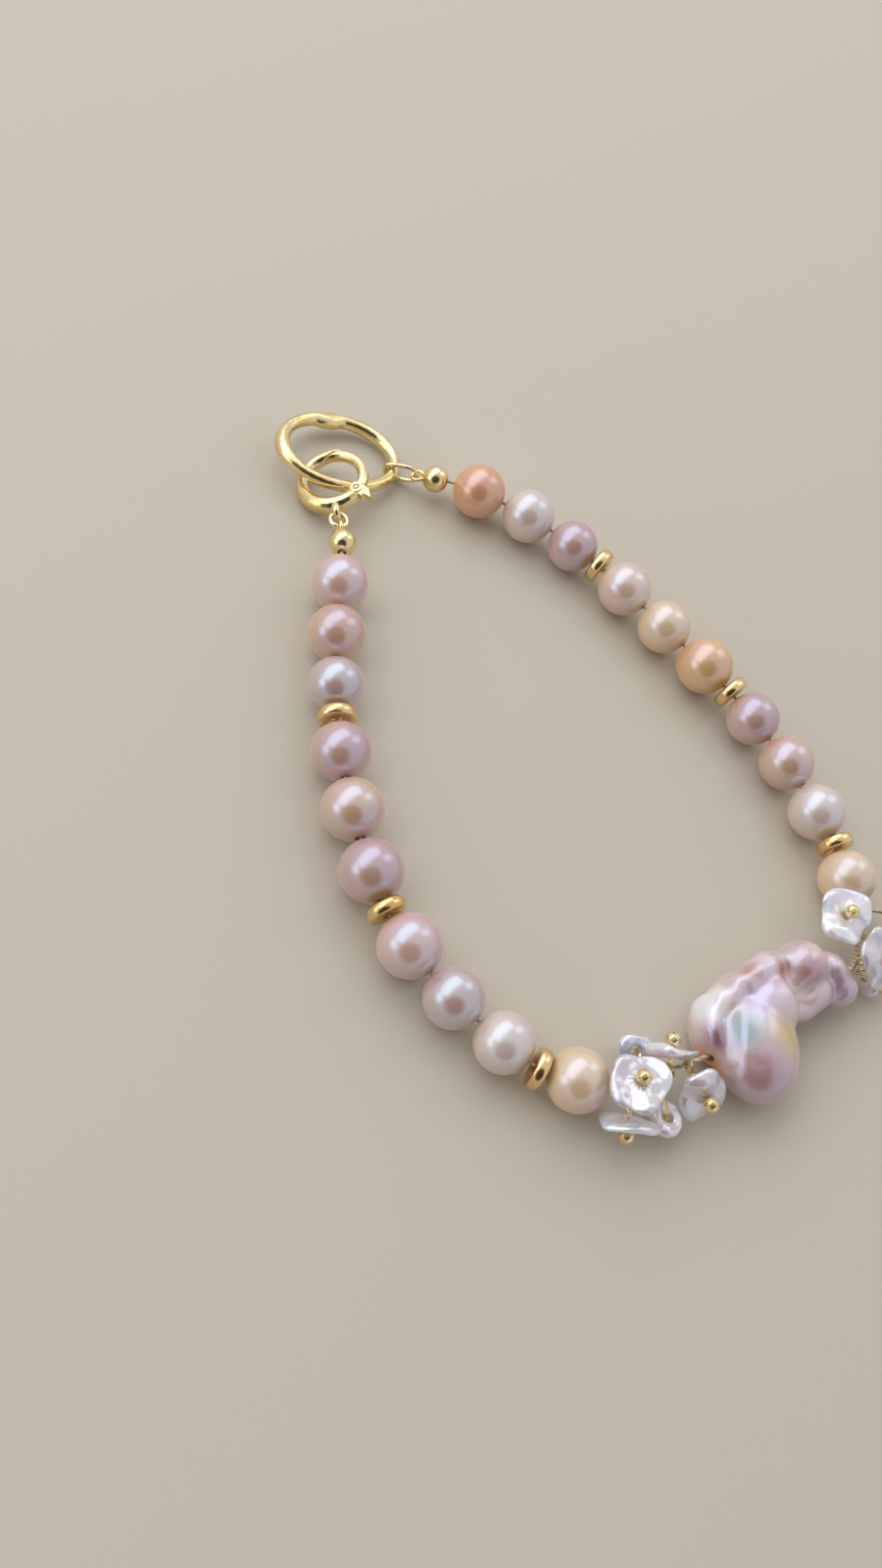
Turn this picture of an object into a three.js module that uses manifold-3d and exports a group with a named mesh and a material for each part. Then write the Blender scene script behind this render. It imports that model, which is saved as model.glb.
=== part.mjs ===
// A pearl bracelet, lying closed on a table: round pearls with gold rondelles on a thread, a large baroque
// pearl between two bunches of keshi petals at the front, and a round trigger clasp on an oval ring at the back.
// Millimetres, +Z up, +Y from the baroque pearl to the clasp.

import * as THREE from "three";
import { mergeVertices } from "three/addons/utils/BufferGeometryUtils.js";
import Module from "manifold-3d";

const wasm = await Module();
wasm.setup();
const radians = THREE.MathUtils.degToRad;
const upward = new THREE.Vector3(0, 0, 1);

// Round pearls, rondelles and thread
const pearlDiameter = 6.2;
const boreDiameter = 1.0;
const rondelleDiameter = 4.3;
const rondelleThickness = 1.4;
const beadGap = 0.28;
const threadDiameter = 0.4;
const pearlsPerRondelle = 3;
const beadSides = 12;

// End beads and links
const endBeadDiameter = 3.1;
const endBoreDepth = 1.2;
const threadEndGap = 0.35;
const wireDiameter = 0.44;
const eyeDiameter = 1.4;
const linkClearance = 0.1;
const solderDepth = 0.12;
const leftLinkDiameter = 2.0;
const rightLinkLength = 3.94;
const rightLinkWidth = 2.2;
const linkSides = 12;
const wireSides = 6;

// Baroque pearl
const baroqueLength = 20.2;
const baroqueWidth = 12.6;
const baroqueHeight = 8.2;
const baroqueBoreHeight = 3.6;
const baroqueTurn = -7.3;
const mouthReach = 0.9;

// Keshi petals and their pins
const petalRadius = 2.9;
const petalThickness = 0.9;
const petalHole = 0.9;
const pinHeadDiameter = 1.6;
const pinWireDiameter = 0.45;
const pinClearance = 0.12;
const petalSides = 14;

// Round trigger clasp, flat in its own plane before it is tilted
const claspCentre = [-2.05, 38.54];
const claspRadius = 3.6;
const claspWidth = 1.15;
const claspHeight = 1.3;
const claspTilt = 26;
const claspRiseAngle = -31;
const hingeRadius = 3.45;
const hingeAngle = -66;
const seamAngle = 54;
const seamGap = 0.12;
const hubRadius = 0.78;
const hingePinDiameter = 0.46;
const hingeClearance = 0.1;
const tongueThickness = 0.44;
const tailLength = 2.4;
const claspEyeAngle = -115;
const chainRise = 3;

// Oval ring. Its offset is measured from claspCentre, for the clasp is shut round its wire.
const ovalOffset = [3.14, 3.54];
const ovalLength = 13.8;
const ovalWidth = 10.6;
const ovalTurn = -25;
const ovalTilt = 8;
const ovalWireWidth = 1.35;
const ovalWireHeight = 1.45;
const ovalRest = 0.28;
const ovalExitAngle = -18;
const exitTurn = -48.8;
const exitRise = 15;

// Pearl sizes as shares of pearlDiameter, the bare thread before the first pearl, the stretch that holds the petals,
// and the places that each side runs through on the table, from its end bead to the mouth of the baroque pearl's bore
const sides = {
  left: {
    pearls: [1.02, 1.0, 0.955, 1.005, 1.04, 1.04, 1.03, 0.965, 0.96, 0.995],
    lead: 1.0,
    petalSpan: 9.6,
    route: [
      [-6.2, 30.4],
      [-13.2, 20.4],
      [-20.7, 7.4],
      [-24.8, -5],
      [-25.8, -12.9],
      [-24.4, -19.2],
      [-22.6, -25.5],
      [-18.6, -32.2],
      [-6.9, -36.4],
    ],
  },
  right: {
    pearls: [1.02, 1.0, 0.95, 1.01, 0.99, 1.04, 0.97, 0.995, 1.01, 1.0],
    lead: 0.5,
    petalSpan: 8.8,
    route: [
      [9.9, 33.9],
      [13.2, 30.9],
      [19.8, 19.5],
      [23.2, 5],
      [25.4, -10],
      [25.1, -16.6],
      [24, -22.7],
      [22.1, -29.9],
      [14.9, -39.2],
    ],
  },
};

// Petals: along is a share of the stretch from its left end, out and rise are the petal's distance from the thread
// away from the loop and upwards in shares of petalRadius, facing is the angle of its face from straight up towards
// the outside, lean its angle along the thread, and size, cup and wave are shares of petalRadius.
const petals = {
  left: [
    { along: 0.16, out: 0.3, rise: 1.12, facing: -12, lean: 2, size: 1.05, cup: 0.12, wave: 0.07, phase: 10 },
    { along: 0.66, out: -0.4, rise: 0.6, facing: -74, lean: 20, size: 0.86, cup: 0.1, wave: 0.09, phase: 100 },
    { along: 0.88, out: 1.12, rise: 0.28, facing: 48, lean: -4, size: 0.93, cup: -0.12, wave: 0.05, phase: 60 },
    { along: 0.06, out: 1.2, rise: 0.02, facing: 122, lean: -16, size: 0.96, cup: 0.1, wave: 0.08, phase: 0 },
    { along: 0.42, out: -0.98, rise: -0.2, facing: -128, lean: 0, size: 0.62, cup: 0.1, wave: 0.05, phase: 40 },
    { along: 0.49, out: 1.4, rise: -0.26, facing: 160, lean: 0, size: 0.59, cup: 0.08, wave: 0.05, phase: 80 },
  ],
  right: [
    { along: 0.7, out: -0.95, rise: 0.68, facing: 4, lean: -6, size: 1.12, cup: 0.12, wave: 0.08, phase: 10 },
    { along: 0.27, out: 0.56, rise: 0.46, facing: 24, lean: -20, size: 1.1, cup: -0.1, wave: 0.07, phase: 70 },
    { along: 0.98, out: 1.5, rise: 0.34, facing: 56, lean: 14, size: 0.92, cup: 0.1, wave: 0.08, phase: 30 },
    { along: 0.6, out: 1.35, rise: -0.46, facing: 112, lean: 0, size: 0.72, cup: 0.1, wave: 0.06, phase: 50 },
    { along: 0.12, out: 0.62, rise: -0.58, facing: 84, lean: -10, size: 0.55, cup: 0.08, wave: 0.05, phase: 90 },
  ],
};

// Lobes of the baroque pearl. Places are shares of its half length, half width and half height from the middle of
// the bore, sizes are half axes in the same shares, and turn is the lobe's angle on the table.
const lobes = [
  { name: "belly", x: -0.42, y: -0.27, z: 0.0, length: 0.43, width: 0.84, height: 0.88, turn: -12 },
  { name: "shoulder", x: -0.63, y: 0.48, z: 0.08, length: 0.42, width: 0.52, height: 0.8, turn: 24 },
  { name: "ridge", x: -0.24, y: 0.67, z: 0.22, length: 0.46, width: 0.42, height: 0.66, turn: 12 },
  { name: "heart", x: -0.06, y: 0.12, z: 0.05, length: 0.34, width: 0.5, height: 0.78, turn: 0 },
  { name: "knob", x: 0.41, y: 0.62, z: 0.34, length: 0.27, width: 0.4, height: 0.6, turn: -10 },
  { name: "neck", x: 0.6, y: 0.36, z: 0.12, length: 0.3, width: 0.38, height: 0.6, turn: -12 },
  { name: "tail", x: 0.81, y: 0.14, z: 0.08, length: 0.18, width: 0.36, height: 0.54, turn: 0 },
  { name: "bump", x: 0.7, y: -0.02, z: -0.26, length: 0.2, width: 0.24, height: 0.34, turn: 0 },
];

const pearlColours = {
  left: [0xe2d8e4, 0xe6b9a4, 0xecd9d8, 0xdcbfd0, 0xeacfb9, 0xe0bfc4, 0xe6d3da, 0xe4e2e6, 0xdfd6d8, 0xe6d5b0],
  right: [0xe2a67c, 0xe8e8e6, 0xcdb9c4, 0xe8d3d3, 0xe6d3a8, 0xe8c39a, 0xcfb3b8, 0xd9b9cc, 0xe4e2dd, 0xe6cdaa],
};
const gold = { color: 0xe3c66f, roughness: 0.18, metalness: 1 };
const deepGold = { color: 0xd9a64a, roughness: 0.18, metalness: 1 };
const nacre = { color: 0xe9e2ea, roughness: 0.2, metalness: 0 };
const pinkNacre = { color: 0xd9bfc9, roughness: 0.22, metalness: 0 };
const silk = { color: 0xe8d9b8, roughness: 0.8, metalness: 0 };

const bracelet = new THREE.Group();

function addPiece(name, geometry, look, place, turn) {
  const mesh = new THREE.Mesh(geometry, new THREE.MeshStandardMaterial(look));
  mesh.name = name;
  if (place) mesh.position.copy(place);
  if (turn) mesh.quaternion.copy(turn);
  bracelet.add(mesh);
  return mesh;
}

// A closed geometry as a manifold-3d solid, for joins and cuts.
function solidOf(geometry) {
  const plain = geometry.clone();
  plain.deleteAttribute("normal");
  plain.deleteAttribute("uv");
  const merged = mergeVertices(plain, 1e-4);
  return new wasm.Manifold(
    new wasm.Mesh({
      numProp: 3,
      vertProperties: merged.attributes.position.array,
      triVerts: new Uint32Array(merged.index.array),
    }),
  );
}

function geometryOf(solid) {
  const mesh = solid.getMesh();
  const geometry = new THREE.BufferGeometry();
  geometry.setAttribute("position", new THREE.BufferAttribute(mesh.vertProperties, 3));
  geometry.setIndex(new THREE.BufferAttribute(mesh.triVerts, 1));
  geometry.computeVertexNormals();
  return geometry;
}

// A closed skin over rings of equal length. Joined skins close on themselves, the others get a fan at each end.
function skin(rings, joined) {
  const count = rings[0].length;
  const corners = rings.flat();
  const faces = [];
  const bands = joined ? rings.length : rings.length - 1;
  for (let i = 0; i < bands; i++) {
    const near = i * count;
    const far = ((i + 1) % rings.length) * count;
    for (let j = 0; j < count; j++) {
      const next = (j + 1) % count;
      faces.push(near + j, near + next, far + next, near + j, far + next, far + j);
    }
  }
  if (!joined) {
    const last = (rings.length - 1) * count;
    for (let j = 1; j < count - 1; j++) {
      faces.push(0, j + 1, j, last, last + j, last + j + 1);
    }
  }
  const geometry = new THREE.BufferGeometry().setFromPoints(corners);
  geometry.setIndex(faces);
  geometry.computeVertexNormals();
  return geometry;
}

// Carries a section, a list of [side, up] points, along a line of points whose up direction stays near upHint.
function sweep(section, points, upHint, joined = false) {
  const last = points.length - 1;
  const rings = points.map((point, i) => {
    const before = points[i > 0 ? i - 1 : joined ? last : 0];
    const after = points[i < last ? i + 1 : joined ? 0 : last];
    const along = after.clone().sub(before).normalize();
    const side = upHint.clone().cross(along).normalize();
    const up = along.clone().cross(side);
    return section.map(([s, u]) => point.clone().addScaledVector(side, s).addScaledVector(up, u));
  });
  return skin(rings, joined);
}

function roundSection(diameter, count) {
  return Array.from({ length: count }, (_, k) => {
    const angle = (2 * Math.PI * k) / count;
    return [(diameter / 2) * Math.cos(angle), (diameter / 2) * Math.sin(angle)];
  });
}

// A band's section with its four corners cut back.
function bandSection(width, height) {
  const cut = 0.29 * Math.min(width, height);
  const [w, h] = [width / 2, height / 2];
  return [
    [w, -h + cut],
    [w, h - cut],
    [w - cut, h],
    [-w + cut, h],
    [-w, h - cut],
    [-w, -h + cut],
    [-w + cut, -h],
    [w - cut, -h],
  ];
}

function arcPoints(radius, from, to, steps) {
  return Array.from({ length: steps + 1 }, (_, k) => {
    const angle = radians(from + ((to - from) * k) / steps);
    return new THREE.Vector3(radius * Math.cos(angle), radius * Math.sin(angle), 0);
  });
}

function polar(radius, angle, height = 0) {
  return new THREE.Vector3(radius * Math.cos(radians(angle)), radius * Math.sin(radians(angle)), height);
}

// The turn that carries a lathe's axis, +Y, onto a direction and keeps its +Z side as near upright as it can.
function axisTurn(direction) {
  const side = direction.clone().cross(upward).normalize();
  const up = side.clone().cross(direction);
  return new THREE.Quaternion().setFromRotationMatrix(new THREE.Matrix4().makeBasis(side, direction, up));
}

// The tilt of a flat piece that lifts its side towards an angle on the table.
function tiltTowards(angle, tilt) {
  const axis = new THREE.Vector3(Math.sin(radians(angle)), -Math.cos(radians(angle)), 0);
  return new THREE.Quaternion().setFromAxisAngle(axis, radians(tilt));
}

function drilledPearl(diameter) {
  const radius = diameter / 2;
  const bore = boreDiameter / 2;
  const start = Math.asin(bore / radius);
  const arcs = 8;
  const profile = [];
  for (let k = 0; k <= arcs; k++) {
    const angle = start + ((Math.PI - 2 * start) * k) / arcs;
    profile.push(new THREE.Vector2(radius * Math.sin(angle), -radius * Math.cos(angle)));
  }
  profile.push(profile[0].clone());
  return new THREE.LatheGeometry(profile, beadSides);
}

// A gold ring with a round rim, thinner towards its bore so that the pearls beside it sit in its faces.
function rondelle() {
  const bore = boreDiameter / 2;
  const half = rondelleThickness / 2;
  const rim = rondelleDiameter / 2 - half;
  const arcs = 5;
  const profile = [];
  for (let k = 0; k <= arcs; k++) {
    const angle = -Math.PI / 2 + (Math.PI * k) / arcs;
    profile.push(new THREE.Vector2(rim + half * Math.cos(angle), half * Math.sin(angle)));
  }
  profile.push(new THREE.Vector2(bore, 0.6 * half));
  profile.push(new THREE.Vector2(bore, -0.6 * half));
  profile.push(profile[0].clone());
  return new THREE.LatheGeometry(profile, beadSides);
}

// A wire link whose long side lies along a direction, standing on edge or lying flat. Ends are 1 when round and
// smaller when squarer, and length and width are measured between wire centres.
function linkGeometry({ length, width, ends = 1 }, centre, direction, standing) {
  const side = upward.clone().cross(direction).normalize();
  const across = standing ? direction.clone().cross(side) : side;
  const share = (value) => Math.sign(value) * Math.abs(value) ** ends;
  const points = arcPoints(1, 0, 360, linkSides).slice(0, -1);
  const wire = points.map(({ x, y }) =>
    centre
      .clone()
      .addScaledVector(direction, (share(x) * length) / 2)
      .addScaledVector(across, (share(y) * width) / 2),
  );
  return sweep(roundSection(wireDiameter, wireSides), wire, direction.clone().cross(across), true);
}

// How far a linked wire's centre lies from the next one, drawn tight.
const linkOverlap = wireDiameter + linkClearance;
const eyeSize = { length: eyeDiameter, width: eyeDiameter };
const endEyeDistance = endBeadDiameter / 2 + eyeDiameter / 2 - solderDepth;

// The end bead: a ball with a blind bore for the thread and a soldered eye on the clasp's side.
function endBead(boreDirection, chainDirection, standing) {
  const ball = new THREE.SphereGeometry(endBeadDiameter / 2, beadSides, 8);
  ball.applyQuaternion(axisTurn(boreDirection));
  const eyeCentre = chainDirection.clone().multiplyScalar(endEyeDistance);
  const eye = linkGeometry(eyeSize, eyeCentre, chainDirection, standing);
  const bore = new THREE.CylinderGeometry(boreDiameter / 2, boreDiameter / 2, 2 * endBoreDepth, beadSides);
  bore.applyQuaternion(axisTurn(boreDirection));
  bore.translate(...boreDirection.clone().multiplyScalar(endBeadDiameter / 2).toArray());
  return geometryOf(solidOf(ball).add(solidOf(eye)).subtract(solidOf(bore)));
}

// The clasp's own frame: its plane is tilted so that its left side rests on the table.
const claspTurn = tiltTowards(claspRiseAngle, claspTilt);
const claspLift =
  (claspRadius + claspWidth / 2) * Math.sin(radians(claspTilt)) + (claspHeight / 2) * Math.cos(radians(claspTilt));
const claspPlace = new THREE.Vector3(...claspCentre, claspLift);
const hinge = polar(hingeRadius, hingeAngle);
const seamReach = polar(claspRadius, seamAngle).distanceTo(hinge);

function disc(centre, radius, height, count = 32) {
  const geometry = new THREE.CylinderGeometry(radius, radius, height, count);
  geometry.rotateX(Math.PI / 2);
  geometry.translate(centre.x, centre.y, centre.z);
  return solidOf(geometry);
}

function claspBand(from, to) {
  const steps = Math.max(3, Math.round(Math.abs(to - from) / 12));
  return solidOf(sweep(bandSection(claspWidth, claspHeight), arcPoints(claspRadius, from, to, steps), upward));
}

// The body: the nose, the long arc round to the hinge, a thin tongue there, and the eye that the link holds.
const noseAngle = seamAngle - 18;
const noseEnd = seamAngle + 24;
const tallDisc = 3 * claspHeight;
const claspEyeDistance = claspRadius + claspWidth / 2 + eyeDiameter / 2 - solderDepth;

function claspBody() {
  const nose = claspBand(noseAngle, noseEnd + 2).subtract(disc(hinge, seamReach + seamGap, tallDisc, 64));
  const arc = claspBand(noseEnd, 360 + hingeAngle).subtract(disc(hinge, hubRadius + hingeClearance, tallDisc));
  const tongueRoot = claspBand(360 + hingeAngle - 24, 360 + hingeAngle + 4);
  const tonguePlate = new THREE.BoxGeometry(4 * claspRadius, 4 * claspRadius, tongueThickness);
  const tongue = tongueRoot
    .intersect(solidOf(tonguePlate))
    .add(disc(hinge, hubRadius - hingeClearance, tongueThickness))
    .subtract(disc(hinge, hingePinDiameter / 2 + hingeClearance / 2, tallDisc, 10));
  const eye = linkGeometry(eyeSize, polar(claspEyeDistance, claspEyeAngle), polar(1, claspEyeAngle), true);
  return geometryOf(nose.add(arc).add(tongue).add(solidOf(eye)));
}

// The lever: the gate, which ends inside a circle about the hinge, the hub over the tongue, and a forked thumb tail.
function claspLever() {
  const gate = claspBand(hingeAngle, noseEnd + 10).intersect(disc(hinge, seamReach, tallDisc, 64));
  const fork = new THREE.Shape();
  const tail = [
    [0.34, 0.1],
    [0.42, -0.5],
    [0.2, -1],
    [0.06, -0.56],
    [-0.1, -0.62],
    [-0.18, -0.1],
    [0, 0.3],
  ];
  tail.forEach(([x, y], k) => {
    const [px, py] = [hinge.x + x * tailLength, hinge.y + y * tailLength];
    if (k === 0) fork.moveTo(px, py);
    else fork.lineTo(px, py);
  });
  fork.closePath();
  const tailGeometry = new THREE.ExtrudeGeometry(fork, { depth: 0.8 * claspHeight, bevelEnabled: false });
  tailGeometry.translate(0, 0, -0.4 * claspHeight);
  const slot = disc(hinge, hubRadius + 3 * hingeClearance, tongueThickness + 2 * hingeClearance);
  const hole = disc(hinge, hingePinDiameter / 2 + hingeClearance, tallDisc, 10);
  const hub = disc(hinge, hubRadius, claspHeight, 16);
  return geometryOf(gate.add(hub).add(solidOf(tailGeometry)).subtract(slot).subtract(hole));
}

addPiece("clasp_body", claspBody(), gold, claspPlace, claspTurn);
addPiece("clasp_lever", claspLever(), gold, claspPlace, claspTurn);
const hingePin = new THREE.CylinderGeometry(hingePinDiameter / 2, hingePinDiameter / 2, claspHeight, 10);
hingePin.rotateX(Math.PI / 2);
hingePin.translate(hinge.x, hinge.y, 0);
addPiece("clasp_pin", hingePin, gold, claspPlace, claspTurn);

// The oval ring, with a slow swell round its inner side.
const ovalTurned = tiltTowards(180, ovalTilt);
const ovalLift =
  (ovalLength / 2 + ovalWireWidth / 2) * Math.sin(radians(ovalTilt)) +
  (ovalWireHeight / 2) * Math.cos(radians(ovalTilt)) +
  ovalRest;
const ovalPlace = new THREE.Vector3(claspCentre[0] + ovalOffset[0], claspCentre[1] + ovalOffset[1], ovalLift);

function ovalPoint(angle) {
  const point = new THREE.Vector3(
    (ovalLength / 2) * Math.cos(radians(angle)),
    (ovalWidth / 2) * Math.sin(radians(angle)),
    0,
  );
  return point.applyAxisAngle(upward, radians(ovalTurn));
}

const ovalSteps = 36;
const ovalPoints = Array.from({ length: ovalSteps }, (_, k) => ovalPoint((360 * k) / ovalSteps));
const ovalSection = bandSection(ovalWireWidth, ovalWireHeight);
addPiece("clasp_ring", sweep(ovalSection, ovalPoints, upward, true), gold, ovalPlace, ovalTurned);

// The chain from the clasp's eye to the left end bead.
const claspEyeWire = polar(claspEyeDistance + eyeDiameter / 2, claspEyeAngle)
  .applyQuaternion(claspTurn)
  .add(claspPlace);
function directionOf(turn, rise) {
  return polar(Math.cos(radians(rise)), turn, Math.sin(radians(rise)));
}
const leftChain = directionOf(claspEyeAngle, chainRise);
const leftLinkPlace = claspEyeWire.clone().addScaledVector(leftChain, leftLinkDiameter / 2 - linkOverlap);
const leftLink = linkGeometry({ length: leftLinkDiameter, width: leftLinkDiameter }, new THREE.Vector3(), leftChain);
addPiece("jump_ring_left", leftLink, gold, leftLinkPlace);
const leftBeadPlace = leftLinkPlace
  .clone()
  .addScaledVector(leftChain, leftLinkDiameter / 2 - linkOverlap + eyeDiameter / 2 + endEyeDistance);

// The chain from the oval ring to the right end bead. Its link stands round the ring's wire.
const rightChain = directionOf(exitTurn, exitRise);
const ovalExit = ovalPoint(ovalExitAngle).applyQuaternion(ovalTurned).add(ovalPlace);
const insideLink = rightLinkLength / 2 - wireDiameter / 2;
const rightLinkPlace = ovalExit
  .clone()
  .addScaledVector(rightChain, insideLink - ovalWireWidth / 2 - 2 * linkClearance);
const rightLinkSize = { length: rightLinkLength, width: rightLinkWidth, ends: 0.6 };
const rightLink = linkGeometry(rightLinkSize, new THREE.Vector3(), rightChain, true);
addPiece("jump_ring_right", rightLink, gold, rightLinkPlace);
const rightBeadPlace = rightLinkPlace
  .clone()
  .addScaledVector(rightChain, rightLinkLength / 2 - linkOverlap + eyeDiameter / 2 + endEyeDistance);

// What lies on one side, from the end bead on: each bead's name, length and height on the table.
function beadsOf(side) {
  const beads = [];
  let rondelles = 0;
  sides[side].pearls.forEach((share, k) => {
    const diameter = share * pearlDiameter;
    beads.push({ name: `pearl_${side}_${k + 1}`, index: k, kind: "pearl", length: diameter, height: diameter / 2 });
    if ((k + 1) % pearlsPerRondelle === 0) {
      rondelles += 1;
      beads.push({ name: `rondelle_${side}_${rondelles}`, kind: "rondelle", length: rondelleThickness });
    }
  });
  beads.forEach((bead, k) => {
    if (bead.kind === "rondelle") bead.height = (beads[k - 1].height + beads[k + 1].height) / 2;
  });
  return beads;
}

function curveThrough(points) {
  const curve = new THREE.CatmullRomCurve3(points, false, "centripetal");
  curve.arcLengthDivisions = 400;
  return curve;
}

const strings = { left: beadsOf("left"), right: beadsOf("right") };
const starts = { left: leftBeadPlace, right: rightBeadPlace };
const routes = {};
const lengths = {};
for (const side of ["left", "right"]) {
  routes[side] = sides[side].route.map(([x, y]) => new THREE.Vector3(x, y, 0));
  const beadsLength = strings[side].reduce((sum, bead) => sum + bead.length + beadGap, 0);
  lengths[side] = endBeadDiameter / 2 + sides[side].lead + beadsLength + sides[side].petalSpan;
}

// The baroque pearl hangs between the two sides, as far from the clasp as their lengths let it.
const baroqueAxis = polar(1, baroqueTurn);
const mouthOffset = baroqueLength / 2 + mouthReach;
const stretch =
  (lengths.left + lengths.right) / (curveThrough(routes.left).getLength() + curveThrough(routes.right).getLength());
const hangs = ["left", "right"].map((side) =>
  routes[side].at(-1).clone().sub(routes[side][0]).multiplyScalar(stretch).add(starts[side]),
);
const baroqueCentre = hangs[0].clone().add(hangs[1]).multiplyScalar(0.5).setZ(baroqueBoreHeight);
const mouths = {
  left: baroqueCentre.clone().addScaledVector(baroqueAxis, -mouthOffset),
  right: baroqueCentre.clone().addScaledVector(baroqueAxis, mouthOffset),
};

// A side's route carried onto its real ends, with its bow widened or narrowed until it has its beads' length.
function fitRoute(side) {
  const [from, to] = [starts[side].clone().setZ(0), mouths[side].clone().setZ(0)];
  const oldChord = routes[side].at(-1).clone().sub(routes[side][0]);
  const oldAcross = new THREE.Vector3(-oldChord.y, oldChord.x, 0).normalize();
  const chord = to.clone().sub(from);
  const across = new THREE.Vector3(-chord.y, chord.x, 0).normalize();
  const bowed = (bow) =>
    curveThrough(
      routes[side].map((point) => {
        const step = point.clone().sub(routes[side][0]);
        return from
          .clone()
          .addScaledVector(chord, step.dot(oldChord) / oldChord.lengthSq())
          .addScaledVector(across, bow * step.dot(oldAcross));
      }),
    );
  let [narrow, wide] = [0.1, 4];
  for (let k = 0; k < 30; k++) {
    const middle = (narrow + wide) / 2;
    if (bowed(middle).getLength() < lengths[side]) narrow = middle;
    else wide = middle;
  }
  return bowed((narrow + wide) / 2);
}

// Lays a side's beads end to end on its route.
function layString(side) {
  const route = fitRoute(side);
  const beads = strings[side];
  const placeAt = (distance) => route.getPointAt(distance / lengths[side]);

  let distance = endBeadDiameter / 2 + sides[side].lead;
  const gaps = [placeAt(distance)];
  beads.forEach((bead, k) => {
    distance += bead.length + beadGap;
    const gap = placeAt(distance);
    const next = beads[k + 1];
    gap.z = next ? (bead.height + next.height) / 2 : bead.height;
    gaps.push(gap);
  });
  const first = beads[0].height;
  gaps[0].z = first + (starts[side].z - first) / 2;

  beads.forEach((bead, k) => {
    const centre = gaps[k].clone().add(gaps[k + 1]).multiplyScalar(0.5).setZ(bead.height);
    const turned = axisTurn(gaps[k + 1].clone().sub(gaps[k]).normalize());
    const isPearl = bead.kind === "pearl";
    const geometry = isPearl ? drilledPearl(bead.length) : rondelle();
    const look = isPearl ? { color: pearlColours[side][bead.index], roughness: 0.25, metalness: 0 } : deepGold;
    addPiece(bead.name, geometry, look, centre, turned);
  });
  return gaps;
}

const gaps = { left: layString("left"), right: layString("right") };
const boreDirections = {};
for (const [side, chain] of [["left", leftChain], ["right", rightChain]]) {
  boreDirections[side] = gaps[side][0].clone().sub(starts[side]).normalize();
  const bead = endBead(boreDirections[side], chain.clone().negate(), side === "left");
  addPiece(`end_bead_${side}`, bead, gold, starts[side]);
}

// The thread, from blind bore to blind bore through every bead.
function threadEnd(side) {
  const depth = endBeadDiameter / 2 - endBoreDepth + threadEndGap;
  return starts[side].clone().addScaledVector(boreDirections[side], depth);
}
const threadPoints = [
  threadEnd("left"),
  ...gaps.left,
  mouths.left,
  mouths.right,
  ...gaps.right.toReversed(),
  threadEnd("right"),
];
addPiece("thread", sweep(roundSection(threadDiameter, wireSides), threadPoints, upward), silk);

// The baroque pearl: lobes run together and drilled lengthwise.
function baroquePearl() {
  const half = [baroqueLength / 2, baroqueWidth / 2, baroqueHeight / 2];
  const joined = lobes
    .map((lobe) => {
      const ball = new THREE.SphereGeometry(1, 14, 8);
      ball.rotateX(Math.PI / 2);
      ball.scale(lobe.length * half[0], lobe.width * half[1], lobe.height * half[2]);
      ball.rotateZ(radians(lobe.turn));
      ball.translate(lobe.x * half[0], lobe.y * half[1], lobe.z * half[2]);
      return solidOf(ball);
    })
    .reduce((sum, ball) => sum.add(ball));
  const bore = new THREE.CylinderGeometry(boreDiameter / 2, boreDiameter / 2, 2 * baroqueLength, beadSides);
  bore.rotateZ(Math.PI / 2);
  return geometryOf(joined.subtract(solidOf(bore)));
}
const baroqueTurned = new THREE.Quaternion().setFromAxisAngle(upward, radians(baroqueTurn));
addPiece("baroque_pearl", baroquePearl(), pinkNacre, baroqueCentre, baroqueTurned);

// A cupped disc of nacre with a wavy rim, face up, round a small hole.
const petalProfile = [
  { reach: 0, side: 0.5 },
  { reach: 0.5, side: 0.5 },
  { reach: 0.9, side: 0.36 },
  { reach: 1, side: 0 },
  { reach: 0.9, side: -0.36 },
  { reach: 0.5, side: -0.5 },
  { reach: 0, side: -0.5 },
];

function petalGeometry(petal) {
  const hole = petalHole / 2;
  const rings = Array.from({ length: petalSides }, (_, k) => {
    const angle = (2 * Math.PI * k) / petalSides;
    const phase = radians(petal.phase);
    const outline = 1 + 0.09 * Math.cos(2 * (angle - phase)) + 0.05 * Math.cos(3 * angle + phase);
    const rim = petalRadius * petal.size * outline;
    return petalProfile.map(({ reach, side }) => {
      const radius = hole + (rim - hole) * reach;
      const bend = petal.cup + petal.wave * Math.cos(3 * angle + 2 * phase);
      const height = petalRadius * bend * reach ** 2 + side * petalThickness;
      return new THREE.Vector3(radius * Math.cos(angle), radius * Math.sin(angle), height);
    });
  });
  return skin(rings, true);
}

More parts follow.
